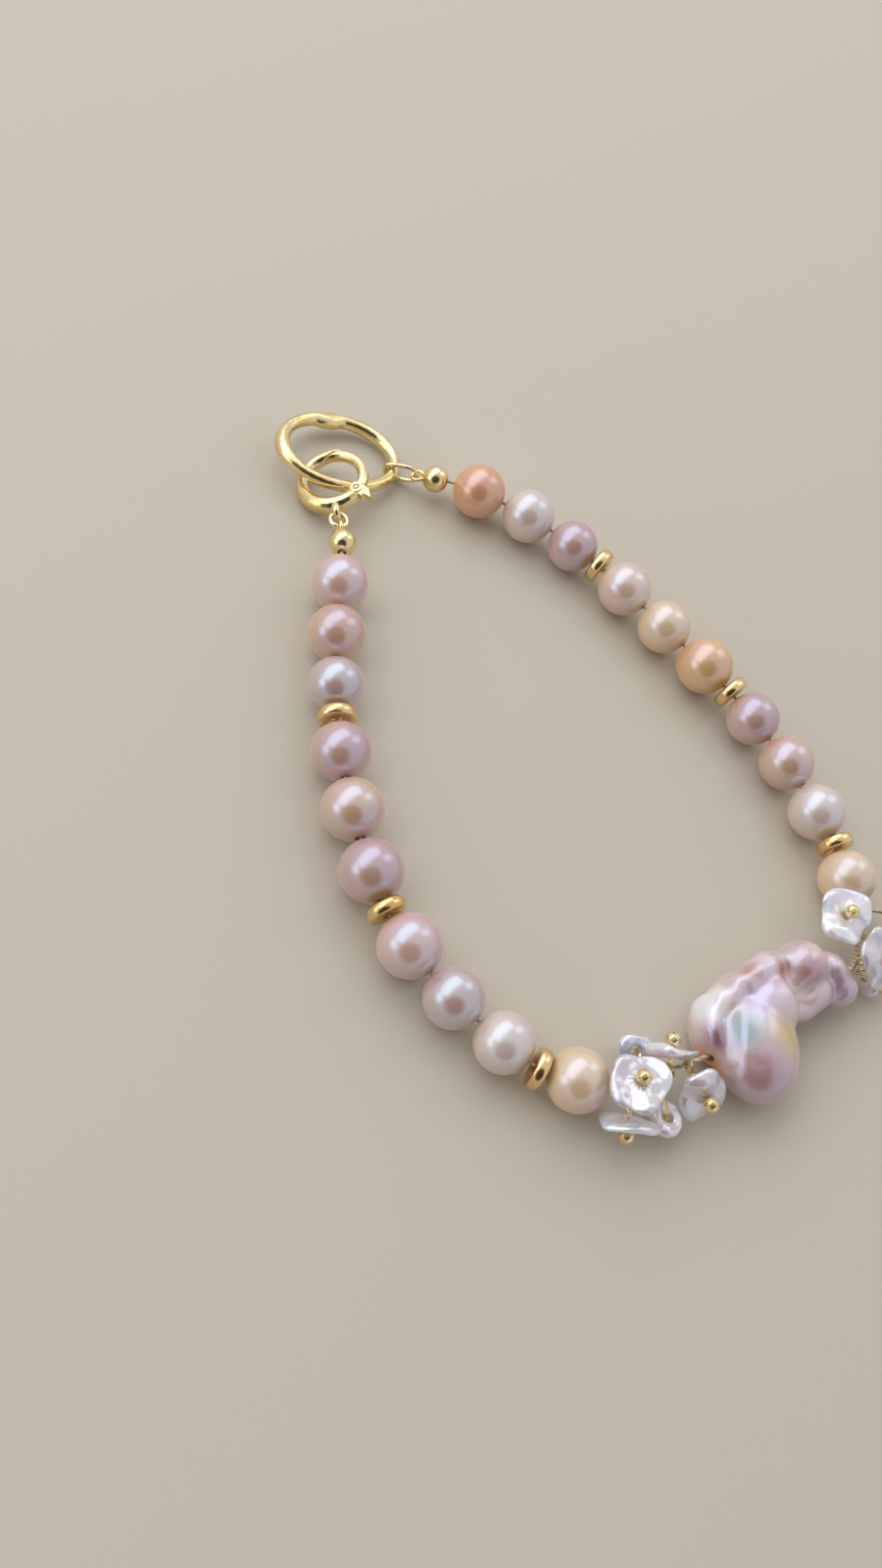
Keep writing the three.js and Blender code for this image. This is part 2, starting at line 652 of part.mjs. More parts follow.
// The pin: a ball head, a shank through the petal, a slanting wire to the thread and a loop round it.
function pinGeometry(face, petalPlace, threadPlace, threadDirection) {
  const headDistance = petalThickness / 2 + pinHeadDiameter / 2 + pinClearance;
  const head = new THREE.SphereGeometry(pinHeadDiameter / 2, 8, 5);
  head.translate(...petalPlace.clone().addScaledVector(face, headDistance).toArray());
  const loopRadius = threadDiameter / 2 + pinWireDiameter / 2 + 2 * pinClearance;
  const loop = new THREE.TorusGeometry(loopRadius, pinWireDiameter / 2, 5, 8);
  const loopTurn = new THREE.Quaternion().setFromUnitVectors(upward, threadDirection);
  loop.applyQuaternion(loopTurn);
  loop.translate(...threadPlace.toArray());
  const foot = petalPlace.clone().addScaledVector(face, -petalThickness / 2 - pinWireDiameter);
  const towards = foot.clone().sub(threadPlace).projectOnPlane(threadDirection).normalize();
  const onLoop = threadPlace.clone().addScaledVector(towards, loopRadius);
  const route = [petalPlace.clone().addScaledVector(face, headDistance), foot, onLoop];
  const hint = face.clone().cross(onLoop.clone().sub(foot)).normalize();
  const wire = sweep(roundSection(pinWireDiameter, 5), route, hint);
  return geometryOf(solidOf(head).add(solidOf(wire)).add(solidOf(loop)));
}

function hangPetals(side, from, to) {
  const direction = to.clone().sub(from).normalize();
  const out = new THREE.Vector3(direction.y, -direction.x, 0).normalize();
  const rise = out.clone().cross(direction);
  petals[side].forEach((petal, k) => {
    const threadPlace = from.clone().lerp(to, petal.along);
    const place = threadPlace
      .clone()
      .addScaledVector(out, petal.out * petalRadius)
      .addScaledVector(rise, petal.rise * petalRadius);
    const facing = radians(petal.facing);
    const lean = radians(petal.lean);
    const face = rise
      .clone()
      .multiplyScalar(Math.cos(facing))
      .addScaledVector(out, Math.sin(facing))
      .multiplyScalar(Math.cos(lean))
      .addScaledVector(direction, Math.sin(lean));
    const turned = new THREE.Quaternion().setFromUnitVectors(upward, face);
    addPiece(`petal_${side}_${k + 1}`, petalGeometry(petal), nacre, place, turned);
    addPiece(`pin_${side}_${k + 1}`, pinGeometry(face, place, threadPlace, direction), deepGold);
  });
}
hangPetals("left", gaps.left.at(-1), mouths.left);
hangPetals("right", mouths.right, gaps.right.at(-1));

// The bracelet stands on the table with the middle of its outline at the origin.
const outline = new THREE.Box3().setFromObject(bracelet, true);
const middle = outline.getCenter(new THREE.Vector3());
bracelet.position.set(-middle.x, -middle.y, -outline.min.z);

const part = new THREE.Group();
part.add(bracelet);

export default part;
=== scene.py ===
import math
import bpy
from mathutils import Matrix, Vector


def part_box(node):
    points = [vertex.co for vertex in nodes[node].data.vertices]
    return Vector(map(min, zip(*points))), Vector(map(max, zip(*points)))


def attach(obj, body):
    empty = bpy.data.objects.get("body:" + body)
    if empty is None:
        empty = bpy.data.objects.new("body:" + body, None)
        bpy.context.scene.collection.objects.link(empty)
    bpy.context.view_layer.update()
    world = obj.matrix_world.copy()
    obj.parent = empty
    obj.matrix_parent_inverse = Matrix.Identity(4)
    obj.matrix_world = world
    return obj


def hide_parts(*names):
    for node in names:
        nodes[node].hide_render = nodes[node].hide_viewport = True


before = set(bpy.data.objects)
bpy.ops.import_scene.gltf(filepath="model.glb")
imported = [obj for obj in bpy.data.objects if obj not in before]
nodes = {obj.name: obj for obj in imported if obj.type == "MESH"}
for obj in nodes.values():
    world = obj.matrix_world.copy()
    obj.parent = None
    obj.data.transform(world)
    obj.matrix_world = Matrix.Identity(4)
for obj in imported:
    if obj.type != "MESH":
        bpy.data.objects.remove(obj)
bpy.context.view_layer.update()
mm = 0.001
sides = ("left", "right")
mergeGap = 0.002 * mm  # corners of a copied solid closer than this are one


def selectOnly(piece):
    for other in bpy.context.selected_objects:
        other.select_set(False)
    piece.select_set(True)
    bpy.context.view_layer.objects.active = piece


def settle(piece):
    selectOnly(piece)  # place, turn and size go into the mesh
    bpy.ops.object.transform_apply(location=True, rotation=True, scale=True)


def pickVertices(piece, test):
    bpy.ops.object.mode_set(mode="OBJECT")
    for part in (piece.data.polygons, piece.data.edges, piece.data.vertices):
        for item in part:
            item.select = False
    for vertex in piece.data.vertices:
        vertex.select = bool(test(vertex.co))
    bpy.ops.object.mode_set(mode="EDIT")
    bpy.ops.mesh.select_mode(type="VERT")


def resizeWhere(piece, test, size):
    selectOnly(piece)
    pickVertices(piece, test)
    bpy.ops.transform.resize(value=size)
    bpy.ops.object.mode_set(mode="OBJECT")


def pushWhere(piece, test, push, reach):
    selectOnly(piece)
    pickVertices(piece, test)
    bpy.ops.transform.translate(
        value=push, use_proportional_edit=True, proportional_edit_falloff="SMOOTH", proportional_size=reach,
    )
    bpy.ops.object.mode_set(mode="OBJECT")


def thicken(piece, part):
    selectOnly(piece)
    pickVertices(piece, lambda co: (co / mm - Vector(part["at"])).length < part["near"])
    bpy.ops.transform.shrink_fatten(
        value=part["amount"] * mm, use_proportional_edit=True,
        proportional_edit_falloff="SMOOTH", proportional_size=part["reach"] * mm,
    )
    bpy.ops.object.mode_set(mode="OBJECT")


def applyModifier(piece, kind, **values):
    selectOnly(piece)
    modifier = piece.modifiers.new(kind.lower(), kind)
    for key, value in values.items():
        setattr(modifier, key, value)
    bpy.ops.object.modifier_apply(modifier=modifier.name)


def subdivide(piece, levels):
    applyModifier(piece, "SUBSURF", levels=levels, render_levels=levels)


def soften(piece, rounds):
    applyModifier(piece, "SMOOTH", factor=0.5, iterations=rounds)


def melt(piece, shape):
    applyModifier(piece, "REMESH", mode="VOXEL", voxel_size=shape["voxel"])
    soften(piece, shape["smooth"])


def cutOrJoin(piece, tool, operation):
    applyModifier(piece, "BOOLEAN", operation=operation, object=tool, solver="EXACT")
    bpy.data.objects.remove(tool)


def smoothShade(piece, angle=None):
    selectOnly(piece)
    if angle is None:
        bpy.ops.object.shade_smooth()
    else:
        bpy.ops.object.shade_smooth_by_angle(angle=math.radians(angle))


def copyOfNode(node, name):
    piece = bpy.data.objects.new(name, nodes[node].data.copy())
    bpy.context.collection.objects.link(piece)
    piece.data.materials.clear()
    selectOnly(piece)
    bpy.ops.object.mode_set(mode="EDIT")
    bpy.ops.mesh.select_all(action="SELECT")
    bpy.ops.mesh.remove_doubles(threshold=mergeGap)
    bpy.ops.object.mode_set(mode="OBJECT")
    return piece


def copyOf(master, name):
    piece = master.copy()
    piece.data = master.data.copy()
    piece.name = piece.data.name = name
    bpy.context.collection.objects.link(piece)
    return piece


def middleOf(node):
    low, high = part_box(node)
    return (Vector(low) + Vector(high)) / 2


def spanOf(node):
    low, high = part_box(node)
    return Vector(high) - Vector(low)


def turnTo(direction):
    return Vector(direction).to_track_quat("Z", "Y").to_matrix().to_4x4()


def finishPiece(piece, material, stands, body="bracelet"):
    piece.data.materials.clear()
    piece.data.materials.append(material)
    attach(piece, body)
    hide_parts(*stands)


# helpers for the materials
def paint(text):
    values = [int(text[k:k + 2], 16) / 255 for k in (0, 2, 4)]
    return tuple(v / 12.92 if v <= 0.04045 else ((v + 0.055) / 1.055) ** 2.4 for v in values) + (1,)


def newMaterial(name):
    material = bpy.data.materials.new(name)
    material.use_nodes = True
    tree = material.node_tree
    return material, tree, tree.nodes["Principled BSDF"]


def addNode(tree, kind, inputs, **values):
    node = tree.nodes.new(kind)
    for key, value in values.items():
        setattr(node, key, value)
    for key, value in inputs.items():
        if hasattr(value, "is_output"):
            tree.links.new(value, node.inputs[key])
        else:
            node.inputs[key].default_value = value
    return node


def objectPlace(tree):
    return addNode(tree, "ShaderNodeTexCoord", {}).outputs["Object"]


def ownPlace(tree, centre, size):
    return addNode(tree, "ShaderNodeMapping", {
        "Vector": objectPlace(tree), "Location": [-c / size for c in centre], "Scale": (1 / size,) * 3,
    }).outputs["Vector"]


def noise(tree, place, scale, detail, distortion=0):
    return addNode(tree, "ShaderNodeTexNoise", {
        "Vector": place, "Scale": scale, "Detail": detail, "Distortion": distortion,
    }).outputs["Fac"]


def mixColours(tree, factor, first, second):
    return addNode(tree, "ShaderNodeMix", {0: factor, 6: first, 7: second}, data_type="RGBA").outputs[2]


def ramp(tree, value, stops):
    return addNode(tree, "ShaderNodeMapRange", {
        "Value": value, "From Min": stops[0], "From Max": stops[1],
    }, interpolation_type="SMOOTHSTEP").outputs["Result"]


def patch(tree, place, spot):
    away = addNode(tree, "ShaderNodeVectorMath", {0: place, 1: spot["at"]}, operation="DISTANCE")
    stops = (spot["reach"] + spot["soft"], max(spot["reach"] - spot["soft"], 0))
    return ramp(tree, away.outputs["Value"], stops)


def colourOf(tree, shader, colour):
    tree.links.new(colour, shader.inputs["Base Color"])


def roughnessOf(tree, shader, grain, limits):
    rough = addNode(tree, "ShaderNodeMapRange", {"Value": grain, "To Min": limits[0], "To Max": limits[1]})
    tree.links.new(rough.outputs["Result"], shader.inputs["Roughness"])


def bumpOf(tree, shader, height, strength, depth):
    bump = addNode(tree, "ShaderNodeBump", {"Height": height, "Strength": strength, "Distance": depth})
    tree.links.new(bump.outputs["Normal"], shader.inputs["Normal"])


# nacre: a strong tinted gloss over a warm body that lets a little light in
nacreLook = {
    "ior": 2.6,
    "specular": 0.9,
    "coat": 0.3,
    "coatRoughness": 0.12,
    "sheen": 0.6,
    "sheenRoughness": 0.3,
    "sheenTint": "fff2ea",
    "inside": 0.35,
    "insideRadius": (1.0, 0.8, 0.7),
    "insideDepth": 0.9 * mm,
}


def setNacre(shader, look, gloss):
    shader.inputs["IOR"].default_value = look["ior"]
    shader.inputs["Specular IOR Level"].default_value = look["specular"]
    shader.inputs["Specular Tint"].default_value = paint(gloss)
    shader.inputs["Coat Weight"].default_value = look["coat"]
    shader.inputs["Coat Roughness"].default_value = look["coatRoughness"]
    shader.inputs["Sheen Weight"].default_value = look["sheen"]
    shader.inputs["Sheen Roughness"].default_value = look["sheenRoughness"]
    shader.inputs["Sheen Tint"].default_value = paint(look["sheenTint"])
    shader.inputs["Subsurface Weight"].default_value = look["inside"]
    shader.inputs["Subsurface Radius"].default_value = look["insideRadius"]
    shader.inputs["Subsurface Scale"].default_value = look["insideDepth"]


# gold
goldLook = {
    "paleGold": {"colour": "f6e4b4", "shade": "ecd092"},
    "deepGold": {"colour": "f3d8a4", "shade": "e4bc80"},
    "clouds": 420, "cloudEdge": (0.35, 0.7), "fine": 1600, "roughness": (0.12, 0.26),
    "bump": 0.12, "bumpDepth": 0.1 * mm,
}


def goldMaterial(name):
    look, tone = goldLook, goldLook[name]
    material, tree, shader = newMaterial(name)
    place = objectPlace(tree)
    clouds = noise(tree, place, look["clouds"], detail=4)
    worn = ramp(tree, clouds, look["cloudEdge"])
    colourOf(tree, shader, mixColours(tree, worn, paint(tone["colour"]), paint(tone["shade"])))
    roughnessOf(tree, shader, noise(tree, place, look["fine"], detail=5), look["roughness"])
    bumpOf(tree, shader, clouds, look["bump"], look["bumpDepth"])
    shader.inputs["Metallic"].default_value = 1
    return material


paleGold, deepGold = goldMaterial("paleGold"), goldMaterial("deepGold")

# the order of each side, from the clasp on
strings = {}
for side in sides:
    strings[side] = [f"end_bead_{side}"]
    for k in range(1, 11):
        strings[side].append(f"pearl_{side}_{k}")
        if k % 3 == 0:
            strings[side].append(f"rondelle_{side}_{k // 3}")


def placeOnString(side, index):
    row = strings[side]
    before = middleOf(row[index - 1])
    after = middleOf(row[index + 1] if index + 1 < len(row) else row[index])
    return Matrix.Translation(middleOf(row[index])) @ turnTo((after - before).normalized())


# round pearls: one drilled master, copied and turned along the string
roundPearls = {
    "left": ["rose", "copper", "moon", "mauve", "tan", "mauve", "rose", "moon", "silver", "cream"],
    "right": ["orange", "silver", "mauve", "champagne", "cream", "apricot", "mauve", "tan", "silver", "cream"],
    # low: the colour of each pearl's lower side, a painted warm glow of light bounced up from the floor
    "tones": {
        "rose": {"body": "e6b8a2", "blush": "e2b2aa", "low": "facfae", "gloss": "b8e0fc"},
        "moon": {"body": "d6aca4", "blush": "d0a8a8", "low": "f4caac", "gloss": "c2f0ff"},
        "mauve": {"body": "d2aa8e", "blush": "cea29a", "low": "f0c8a6", "gloss": "bccef6"},
        "copper": {"body": "dab080", "blush": "d6a68a", "low": "f4cc9c", "gloss": "c2caf0"},
        "tan": {"body": "e0b88c", "blush": "dcae94", "low": "f0c494", "gloss": "c8dcff"},
        "cream": {"body": "eed4a4", "blush": "e8caa2", "low": "fcd490", "gloss": "c8d0f0"},
        "silver": {"body": "e8d2c0", "blush": "e4ccc4", "low": "f6d4ae", "gloss": "c8e0f8"},
        "apricot": {"body": "deb678", "blush": "daac80", "low": "ecbe76", "gloss": "d2cad6"},
        "orange": {"body": "dca474", "blush": "d69a78", "low": "ecb680", "gloss": "d4ccc8"},
        "champagne": {"body": "ecd0b4", "blush": "e6c4b2", "low": "f4cea4", "gloss": "ccdcf6"},
    },
    "clouds": 0.9, "cloudEdge": (0.38, 0.62), "floorGlowEdge": (-0.9, 0.8),
    "ownClouds": (3.7, 1.9, 2.3), "firstSeed": {"left": 0, "right": 20},
    "grain": 5.0, "roughness": (0.23, 0.28), "bump": 0.02, "bumpDepth": 0.2 * mm,
    "segments": 56, "rings": 36, "drill": 0.165,
    "egg": {"right_1": 1.0, "left_9": 0.4, "left_4": 0.3}, "plainEgg": 0.12, "flatter": (0.03, 0.02),
}


def pearlMaterial(key, tone, centre, radius, seed):
    look = roundPearls
    material, tree, shader = newMaterial("nacre_" + key)
    place = ownPlace(tree, centre, radius)
    ownClouds = [seed * step for step in look["ownClouds"]]
    shifted = addNode(tree, "ShaderNodeVectorMath", {0: place, 1: ownClouds}).outputs[0]
    clouds = ramp(tree, noise(tree, shifted, look["clouds"], detail=2.5), look["cloudEdge"])
    height = addNode(tree, "ShaderNodeSeparateXYZ", {"Vector": place}).outputs["Z"]
    colour = mixColours(tree, clouds, paint(tone["body"]), paint(tone["blush"]))
    # towards the bottom the colour goes over to the low tone: a painted warm glow of light bounced up from the
    # floor
    colour = mixColours(tree, ramp(tree, height, look["floorGlowEdge"]), paint(tone["low"]), colour)
    colourOf(tree, shader, colour)
    grain = noise(tree, shifted, look["grain"], detail=5)
    roughnessOf(tree, shader, grain, look["roughness"])
    bumpOf(tree, shader, grain, look["bump"], look["bumpDepth"])
    setNacre(shader, nacreLook, tone["gloss"])
    return material


def makePearlMaster():
    shape = roundPearls
    bpy.ops.mesh.primitive_uv_sphere_add(segments=shape["segments"], ring_count=shape["rings"], radius=1)
    master = bpy.context.object
    step = math.pi / shape["rings"]
    selectOnly(master)
    pickVertices(master, lambda co: abs(co.z) > math.cos(1.5 * step))  # both poles go
    bpy.ops.mesh.delete(type="VERT")
    bpy.ops.object.mode_set(mode="OBJECT")
    pickVertices(master, lambda co: abs(co.z) > math.cos(2.5 * step))  # their rims are drawn in and joined
    narrow = shape["drill"] / math.sin(2 * step)
    bpy.ops.transform.resize(value=(narrow, narrow, 1.0))
    bpy.ops.mesh.bridge_edge_loops()
    bpy.ops.object.mode_set(mode="OBJECT")
    smoothShade(master, angle=40)
    return master


pearlMaster = makePearlMaster()
for side, row in strings.items():
    for index, node in enumerate(row):
        if not node.startswith("pearl"):
            continue
        key = node.removeprefix("pearl_")
        number = int(key.rsplit("_", 1)[1])
        radius = max(spanOf(node)) / 2
        egg = roundPearls["egg"].get(key, roundPearls["plainEgg"])
        wide, deep = (radius * (1 - share * egg) for share in roundPearls["flatter"])
        pearl = copyOf(pearlMaster, node + "_nacre")
        pearl.matrix_world = placeOnString(side, index) @ Matrix.Diagonal((radius, wide, deep, 1))
        settle(pearl)
        seed = index + roundPearls["firstSeed"][side]
        tone = roundPearls["tones"][roundPearls[side][number - 1]]
        finishPiece(pearl, pearlMaterial(key, tone, middleOf(node), radius, seed), [node])
bpy.data.objects.remove(pearlMaster)
print("pearls made")

# rondelles: a ring with a straighter bore and a squarer outer edge
rondelleShape = {
    "rim": 1.45 * mm, "half": 0.7 * mm,
    "boreFrom": 0.3, "boreSize": (0.78, 0.78, 0.8),
    "edgeFrom": 0.55, "edgeSize": (0.97, 0.97, 1.25),
}


def makeRondelleMaster():
    shape = rondelleShape
    bpy.ops.mesh.primitive_torus_add(
        major_segments=64, minor_segments=24, major_radius=shape["rim"], minor_radius=shape["half"],
    )
    master = bpy.context.object
    boreEdge = shape["rim"] - shape["boreFrom"] * shape["half"]
    outerEdge = shape["rim"] + shape["edgeFrom"] * shape["half"]
    resizeWhere(master, lambda co: math.hypot(co.x, co.y) < boreEdge, shape["boreSize"])
    resizeWhere(master, lambda co: math.hypot(co.x, co.y) > outerEdge, shape["edgeSize"])
    smoothShade(master)
    return master


rondelleMaster = makeRondelleMaster()
for side, row in strings.items():
    for index, node in enumerate(row):
        if node.startswith("rondelle"):
            rondelle = copyOf(rondelleMaster, node + "_gold")
            rondelle.matrix_world = placeOnString(side, index)
            settle(rondelle)
            finishPiece(rondelle, deepGold, [node])
bpy.data.objects.remove(rondelleMaster)
print("rondelles made")

# beading thread
threadLook = {"dark": "b79b6d", "pale": "efe0c0", "twist": 900, "wobble": 4, "roughness": 0.7, "sheen": 0.4,
              "bump": 0.6, "bumpDepth": 0.05 * mm}


def threadMaterial():
    look = threadLook
    material, tree, shader = newMaterial("silkThread")
    twist = addNode(tree, "ShaderNodeTexWave", {
        "Vector": objectPlace(tree), "Scale": look["twist"], "Distortion": look["wobble"], "Detail": 3,
    }, wave_type="BANDS", bands_direction="DIAGONAL").outputs["Fac"]
    colourOf(tree, shader, mixColours(tree, twist, paint(look["dark"]), paint(look["pale"])))
    bumpOf(tree, shader, twist, look["bump"], look["bumpDepth"])
    shader.inputs["Roughness"].default_value = look["roughness"]
    shader.inputs["Sheen Weight"].default_value = look["sheen"]
    return material


thread = copyOfNode("thread", "thread_silk")
subdivide(thread, 2)
smoothShade(thread)
finishPiece(thread, threadMaterial(), ["thread"])
print("thread made")

# cast gold of the clasp; the lever keeps its thickness, so that its gate swings free
castShapes = {
    "clasp_body": {"voxel": 0.07 * mm, "smooth": 10, "swell": 0.12 * mm, "thick": [
        {"at": (-4.2, 34.2, 0.9), "near": 1.4, "reach": 3.4, "amount": 0.24},
    ]},
    "clasp_lever": {"voxel": 0.07 * mm, "smooth": 8, "swell": 0.02 * mm, "thick": []},
}
for node, shape in castShapes.items():
    piece = copyOfNode(node, node + "_gold")
    melt(piece, shape)
    applyModifier(piece, "DISPLACE", strength=shape["swell"], mid_level=0)
    for part in shape["thick"]:
        thicken(piece, part)
    smoothShade(piece)
    finishPiece(piece, paleGold, [node], "lever" if node == "clasp_lever" else "bracelet")

# oval ring, thicker where the photo shows it, with a small nub inside
ovalShape = {
    "thick": [
        {"at": (2.8, 45.2, 2.0), "near": 1.4, "reach": 3.0, "amount": 0.08},
        {"at": (7.2, 40.8, 2.0), "near": 1.4, "reach": 3.2, "amount": 0.08},
        {"at": (-3.9, 42.2, 1.4), "near": 1.4, "reach": 3.6, "amount": 0.24},
    ],
    "nub": {"at": (2.5, 44.2, 2.0), "near": 0.75, "reach": 1.4, "push": (-0.15, -0.5, 0.0)},
}
ovalRing = copyOfNode("clasp_ring", "clasp_ring_gold")
subdivide(ovalRing, 2)
for part in ovalShape["thick"]:
    thicken(ovalRing, part)
nub = ovalShape["nub"]
nubPush = Vector(nub["push"]) * mm
pushWhere(ovalRing, lambda co: (co / mm - Vector(nub["at"])).length < nub["near"], nubPush, nub["reach"] * mm)
smoothShade(ovalRing)
finishPiece(ovalRing, paleGold, ["clasp_ring"])

# jump rings and the hinge pin
linkShape = {"swell": 0.07 * mm, "pinEdge": 0.05 * mm}
for node in ("jump_ring_left", "jump_ring_right"):
    link = copyOfNode(node, node + "_gold")
    subdivide(link, 2)
    applyModifier(link, "DISPLACE", strength=linkShape["swell"], mid_level=0)
    smoothShade(link)
    finishPiece(link, paleGold, [node])
hingePin = copyOfNode("clasp_pin", "clasp_pin_gold")
applyModifier(hingePin, "BEVEL", width=linkShape["pinEdge"], segments=2)
smoothShade(hingePin, angle=40)
finishPiece(hingePin, paleGold, ["clasp_pin"])

# end beads: a ball with a soldered eye, drilled towards the first pearl
endBeads = {
    "left": {"at": (-5.77, 28.34, 2.87), "clasp": (0.4221, 0.9051, -0.0523), "eyeTurn": (0.9063, -0.4226, 0.0)},
    "right": {"at": (9.78, 32.20, 2.66), "clasp": (-0.6362, 0.7268, -0.2588),
              "eyeTurn": (-0.1705, 0.1947, 0.9659)},
    "radius": 1.55 * mm, "bore": 0.5 * mm, "boreLength": 2.4 * mm,
    "eye": 0.7 * mm, "wire": 0.22 * mm, "reach": 2.13 * mm, "edge": 0.06 * mm,
}
for side in sides:
    spot, shape = endBeads[side], endBeads
    centre = Vector(spot["at"]) * mm
    towards = (middleOf(f"pearl_{side}_1") - centre).normalized()
    bpy.ops.mesh.primitive_uv_sphere_add(segments=48, ring_count=32, radius=shape["radius"], location=centre)
    bead = bpy.context.object
    bead.name = f"end_bead_{side}_gold"
    settle(bead)
    bpy.ops.mesh.primitive_torus_add(
        major_segments=32, minor_segments=14, major_radius=shape["eye"], minor_radius=shape["wire"],
    )
    eye = bpy.context.object
    eyeCentre = centre + Vector(spot["clasp"]) * shape["reach"]
    eye.matrix_world = Matrix.Translation(eyeCentre) @ turnTo(spot["eyeTurn"])
    settle(eye)
    cutOrJoin(bead, eye, "UNION")
    bpy.ops.mesh.primitive_cylinder_add(vertices=24, radius=shape["bore"], depth=shape["boreLength"])
    bore = bpy.context.object
    bore.matrix_world = Matrix.Translation(centre + towards * shape["radius"]) @ turnTo(towards)
    settle(bore)
    cutOrJoin(bead, bore, "DIFFERENCE")
    applyModifier(bead, "BEVEL", width=shape["edge"], segments=2, angle_limit=math.radians(40))
    smoothShade(bead, angle=50)
    finishPiece(bead, paleGold, [f"end_bead_{side}"])
print("clasp made")

# baroque pearl: lobes melted together, creased, then drilled
# lobes, creases and spots of colour, two of them painted highlights and one a painted reflection, are placed in
# mm from its middle
baroqueMiddle = middleOf("baroque_pearl")
baroquePearl = {
    "voxel": 0.2 * mm, "smooth": 20, "creaseNear": 0.25,
    "bore": 0.5 * mm, "boreLength": 40 * mm, "boreAt": (4.17, -40.15, 3.61), "boreTurn": -7.3,
    "lobes": [  # half: half the size of each, turn: its turn about the vertical
        {"at": (-4.9, -0.6, 0.1), "half": (4.6, 5.8, 3.6), "turn": -26},
        {"at": (-7.6, 3.1, -0.7), "half": (1.75, 3.5, 2.9), "turn": -30},
        {"at": (-4.6, 4.6, 0.0), "half": (3.6, 1.7, 3.1), "turn": 20},
        {"at": (-1.2, 4.7, 0.6), "half": (3.4, 1.8, 2.9), "turn": 8},
        {"at": (1.4, 4.7, 0.6), "half": (2.0, 1.9, 2.8), "turn": 0},
        {"at": (-1.0, 1.8, 0.4), "half": (3.0, 3.6, 3.2), "turn": -20},
        {"at": (4.7, 3.0, 0.9), "half": (3.0, 2.8, 2.8), "turn": -10},
        {"at": (2.2, 2.6, 0.2), "half": (2.6, 2.4, 2.6), "turn": 0},
        {"at": (7.7, 1.0, -0.2), "half": (2.2, 2.4, 2.3), "turn": -12},
        {"at": (7.8, -1.1, -0.3), "half": (2.1, 1.7, 1.9), "turn": 0},
        {"at": (4.7, 0.3, -0.1), "half": (3.0, 2.0, 2.1), "turn": 6},
        {"at": (2.6, -0.6, -0.2), "half": (2.2, 1.15, 1.4), "turn": -7},
    ],
    "creases": [
        {"from": (-4.6, 5.6), "to": (-9.2, -0.8), "depth": 0.5, "reach": 1.1},
        {"from": (2.0, 6.0), "to": (1.5, 1.2), "depth": 0.5, "reach": 0.9},
        {"from": (-1.7, 6.2), "to": (-1.9, 3.8), "depth": 0.3, "reach": 0.8},
        {"from": (-0.6, 3.6), "to": (-2.6, -4.6), "depth": 0.2, "reach": 1.5},
        {"from": (-3.4, 4.0), "to": (-7.4, -1.8), "depth": 0.2, "reach": 1.3},
        {"from": (7.5, 3.4), "to": (6.5, -1.0), "depth": 0.4, "reach": 0.8},
        {"from": (2.4, 0.9), "to": (6.4, 0.9), "depth": 0.35, "reach": 0.8},
    ],
    "look": {**nacreLook, "ior": 2.45, "specular": 0.85, "coat": 0.25, "coatRoughness": 0.14, "sheen": 0.2},
    "body": "e4c8b8", "blush": "d8bcba", "gloss": "c6d4f4", "roughness": 0.27,
    "clouds": 0.22, "cloudEdge": (0.4, 0.6), "grain": 1.2, "bump": 0.15, "bumpDepth": 0.3 * mm,
    "tintAndLightSpots": [
        # painted highlight: white on the left shoulder ridge
        {"at": (-7.2, 5.4, 1.2), "reach": 2.2, "soft": 1.1, "weight": 0.95, "colour": "fffaf6"},
        # painted highlight: pale pink on the ridge top
        {"at": (0.3, 5.2, 2.4), "reach": 1.3, "soft": 1.0, "weight": 0.7, "colour": "fbe6f0"},
        {"at": (-3.0, 2.6, 3.2), "reach": 1.8, "soft": 1.6, "weight": 0.7, "colour": "d8c6e6"},
        {"at": (-6.6, 1.2, 3.2), "reach": 1.7, "soft": 1.4, "weight": 0.95, "colour": "98b0a6"},
        {"at": (-2.8, -1.6, 3.2), "reach": 1.9, "soft": 1.5, "weight": 0.95, "colour": "d8b868"},
        {"at": (-7.0, -3.2, 2.0), "reach": 2.6, "soft": 1.9, "weight": 0.85, "colour": "b68482"},
        {"at": (-9.0, 2.0, 2.0), "reach": 1.2, "soft": 0.9, "weight": 0.95, "colour": "9c5c68"},
        {"at": (-1.8, 5.4, 2.8), "reach": 0.8, "soft": 0.8, "weight": 0.95, "colour": "c8944c"},
        {"at": (1.7, 3.8, 2.8), "reach": 0.9, "soft": 0.8, "weight": 0.95, "colour": "bc7a48"},
        {"at": (3.9, 2.0, 3.2), "reach": 1.6, "soft": 1.1, "weight": 0.85, "colour": "b87c80"},
        {"at": (7.2, -0.7, 1.2), "reach": 1.5, "soft": 1.3, "weight": 0.75, "colour": "a4848e"},
        # painted reflection: a warm orange glow of light bounced onto the underside of the left end
        {"at": (-9.6, 0.4, -1.4), "reach": 2.0, "soft": 1.3, "weight": 0.95, "colour": "f09a48"},
    ],
}


def nearLine(co, start, end):
    spot = (co - baroqueMiddle) / mm
    along = Vector(end) - Vector(start)
    share = min(1, max(0, (spot.xy - Vector(start)).dot(along) / along.length_squared))
    away = (spot.xy - Vector(start) - share * along).length
    return spot.z > 0 and away < baroquePearl["creaseNear"]  # the upper side only


def makeLobes(lobes):
    balls = []
    for lobe in lobes:
        bpy.ops.mesh.primitive_uv_sphere_add(segments=32, ring_count=20, radius=mm)
        ball = bpy.context.object
        ball.matrix_world = (
            Matrix.Translation(baroqueMiddle + Vector(lobe["at"]) * mm)
            @ Matrix.Rotation(math.radians(lobe["turn"]), 4, "Z") @ Matrix.Diagonal((*lobe["half"], 1))
        )
        settle(ball)
        balls.append(ball)
    for ball in balls:
        ball.select_set(True)
    bpy.context.view_layer.objects.active = balls[0]
    bpy.ops.object.join()
    return balls[0]


